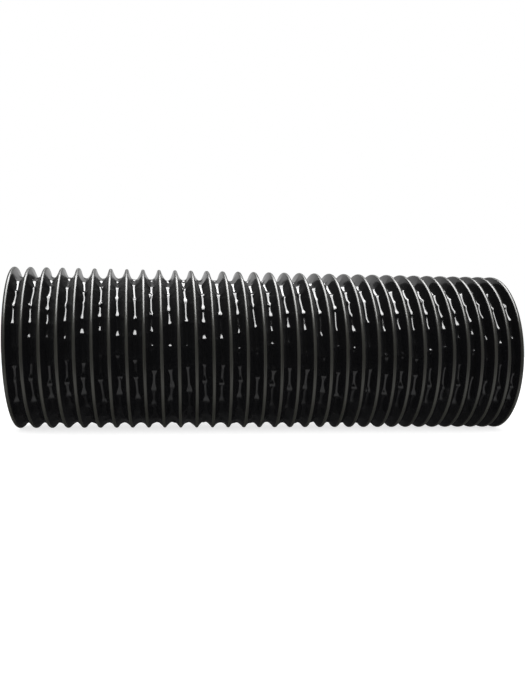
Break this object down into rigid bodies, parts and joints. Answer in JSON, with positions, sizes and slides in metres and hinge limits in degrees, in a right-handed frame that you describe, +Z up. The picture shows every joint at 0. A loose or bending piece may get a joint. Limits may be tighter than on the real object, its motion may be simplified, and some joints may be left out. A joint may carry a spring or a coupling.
{
  "type": "vacuum hose",
  "caption": "Thin black film hose over a spring wire helix, with plain cut ends and deep accordion folds; it stretches, squeezes and bends sideways.",
  "frame": {"origin": "centre of the left end opening, on the axis of the hose", "axes": "+X along the hose from the left end to the right end, +Z up, lying on its side on the plane one crest radius below the origin"},
  "size_m": [0.3357, 0.1058, 0.1058],
  "materials": {
    "wire": "drawn spring steel, satin",
    "film": "glossy thin black vinyl film"
  },
  "bodies": {
    "length_01": {"wire_01": "wire", "film_01": "film"},
    "length_02": {"wire_02": "wire", "film_02": "film"},
    "length_03": {"wire_03": "wire", "film_03": "film"},
    "length_04": {"wire_04": "wire", "film_04": "film"},
    "length_05": {"wire_05": "wire", "film_05": "film"},
    "length_06": {"wire_06": "wire", "film_06": "film"},
    "length_07": {"wire_07": "wire", "film_07": "film"},
    "length_08": {"wire_08": "wire", "film_08": "film"},
    "length_09": {"wire_09": "wire", "film_09": "film"},
    "length_10": {"wire_10": "wire", "film_10": "film"},
    "length_11": {"wire_11": "wire", "film_11": "film"},
    "length_12": {"wire_12": "wire", "film_12": "film"},
    "length_13": {"wire_13": "wire", "film_13": "film"},
    "length_14": {"wire_14": "wire", "film_14": "film"},
    "length_15": {"wire_15": "wire", "film_15": "film"},
    "length_16": {"wire_16": "wire", "film_16": "film"},
    "length_17": {"wire_17": "wire", "film_17": "film"},
    "length_18": {"wire_18": "wire", "film_18": "film"},
    "length_19": {"wire_19": "wire", "film_19": "film"},
    "length_20": {"wire_20": "wire", "film_20": "film"},
    "length_21": {"wire_21": "wire", "film_21": "film"},
    "length_22": {"wire_22": "wire", "film_22": "film"}
  },
  "joints": [
    {"name": "stretch_01", "type": "slide", "parent": "length_01", "child": "length_02", "axis": [1, 0, 0], "range_m": [-0.006, 0.009], "stiffness_N_per_m": 600, "deforming": ["film_01", "film_02"]},
    {"name": "bend_01", "type": "hinge", "parent": "length_02", "child": "length_03", "pos_m": [0.0316, 0, 0], "axis": [0, 0, 1], "range_deg": [-7, 7], "stiffness_Nm_per_rad": 1, "deforming": ["film_03"]},
    {"name": "stretch_02", "type": "slide", "parent": "length_03", "child": "length_04", "axis": [1, 0, 0], "range_m": [-0.006, 0.009], "stiffness_N_per_m": 600, "deforming": ["film_04"]},
    {"name": "bend_02", "type": "hinge", "parent": "length_04", "child": "length_05", "pos_m": [0.06269, 0, 0], "axis": [0, 0, 1], "range_deg": [-7, 7], "stiffness_Nm_per_rad": 1, "deforming": ["film_05"]},
    {"name": "stretch_03", "type": "slide", "parent": "length_05", "child": "length_06", "axis": [1, 0, 0], "range_m": [-0.006, 0.009], "stiffness_N_per_m": 600, "deforming": ["film_06"]},
    {"name": "bend_03", "type": "hinge", "parent": "length_06", "child": "length_07", "pos_m": [0.09424, 0, 0], "axis": [0, 0, 1], "range_deg": [-7, 7], "stiffness_Nm_per_rad": 1, "deforming": ["film_07"]},
    {"name": "stretch_04", "type": "slide", "parent": "length_07", "child": "length_08", "axis": [1, 0, 0], "range_m": [-0.006, 0.009], "stiffness_N_per_m": 600, "deforming": ["film_08"]},
    {"name": "bend_04", "type": "hinge", "parent": "length_08", "child": "length_09", "pos_m": [0.126, 0, 0], "axis": [0, 0, 1], "range_deg": [-7, 7], "stiffness_Nm_per_rad": 1, "deforming": ["film_09"]},
    {"name": "stretch_05", "type": "slide", "parent": "length_09", "child": "length_10", "axis": [1, 0, 0], "range_m": [-0.006, 0.009], "stiffness_N_per_m": 600, "deforming": ["film_10"]},
    {"name": "bend_05", "type": "hinge", "parent": "length_10", "child": "length_11", "pos_m": [0.15775, 0, 0], "axis": [0, 0, 1], "range_deg": [-7, 7], "stiffness_Nm_per_rad": 1, "deforming": ["film_11"]},
    {"name": "stretch_06", "type": "slide", "parent": "length_11", "child": "length_12", "axis": [1, 0, 0], "range_m": [-0.006, 0.009], "stiffness_N_per_m": 600, "deforming": ["film_12"]},
    {"name": "bend_06", "type": "hinge", "parent": "length_12", "child": "length_13", "pos_m": [0.18924, 0, 0], "axis": [0, 0, 1], "range_deg": [-7, 7], "stiffness_Nm_per_rad": 1, "deforming": ["film_13"]},
    {"name": "stretch_07", "type": "slide", "parent": "length_13", "child": "length_14", "axis": [1, 0, 0], "range_m": [-0.006, 0.009], "stiffness_N_per_m": 600, "deforming": ["film_14"]},
    {"name": "bend_07", "type": "hinge", "parent": "length_14", "child": "length_15", "pos_m": [0.22023, 0, 0], "axis": [0, 0, 1], "range_deg": [-7, 7], "stiffness_Nm_per_rad": 1, "deforming": ["film_15"]},
    {"name": "stretch_08", "type": "slide", "parent": "length_15", "child": "length_16", "axis": [1, 0, 0], "range_m": [-0.006, 0.009], "stiffness_N_per_m": 600, "deforming": ["film_16"]},
    {"name": "bend_08", "type": "hinge", "parent": "length_16", "child": "length_17", "pos_m": [0.2505, 0, 0], "axis": [0, 0, 1], "range_deg": [-7, 7], "stiffness_Nm_per_rad": 1, "deforming": ["film_17"]},
    {"name": "stretch_09", "type": "slide", "parent": "length_17", "child": "length_18", "axis": [1, 0, 0], "range_m": [-0.006, 0.009], "stiffness_N_per_m": 600, "deforming": ["film_18"]},
    {"name": "bend_09", "type": "hinge", "parent": "length_18", "child": "length_19", "pos_m": [0.27979, 0, 0], "axis": [0, 0, 1], "range_deg": [-7, 7], "stiffness_Nm_per_rad": 1, "deforming": ["film_19"]},
    {"name": "stretch_10", "type": "slide", "parent": "length_19", "child": "length_20", "axis": [1, 0, 0], "range_m": [-0.006, 0.009], "stiffness_N_per_m": 600, "deforming": ["film_20"]},
    {"name": "bend_10", "type": "hinge", "parent": "length_20", "child": "length_21", "pos_m": [0.30787, 0, 0], "axis": [0, 0, 1], "range_deg": [-7, 7], "stiffness_Nm_per_rad": 1, "deforming": ["film_21"]},
    {"name": "stretch_11", "type": "slide", "parent": "length_21", "child": "length_22", "axis": [1, 0, 0], "range_m": [-0.006, 0.009], "stiffness_N_per_m": 600, "deforming": ["film_22"]}
  ],
  "couplings": [
    {"joint": "stretch_02", "follows": "stretch_01", "ratio": 1},
    {"joint": "bend_02", "follows": "bend_01", "ratio": 1},
    {"joint": "stretch_03", "follows": "stretch_01", "ratio": 1},
    {"joint": "bend_03", "follows": "bend_01", "ratio": 1},
    {"joint": "stretch_04", "follows": "stretch_01", "ratio": 1},
    {"joint": "bend_04", "follows": "bend_01", "ratio": 1},
    {"joint": "stretch_05", "follows": "stretch_01", "ratio": 1},
    {"joint": "bend_05", "follows": "bend_01", "ratio": 1},
    {"joint": "stretch_06", "follows": "stretch_01", "ratio": 1},
    {"joint": "bend_06", "follows": "bend_01", "ratio": 1},
    {"joint": "stretch_07", "follows": "stretch_01", "ratio": 1},
    {"joint": "bend_07", "follows": "bend_01", "ratio": 1},
    {"joint": "stretch_08", "follows": "stretch_01", "ratio": 1},
    {"joint": "bend_08", "follows": "bend_01", "ratio": 1},
    {"joint": "stretch_09", "follows": "stretch_01", "ratio": 1},
    {"joint": "bend_09", "follows": "bend_01", "ratio": 1},
    {"joint": "stretch_10", "follows": "stretch_01", "ratio": 1},
    {"joint": "bend_10", "follows": "bend_01", "ratio": 1},
    {"joint": "stretch_11", "follows": "stretch_01", "ratio": 1}
  ]
}
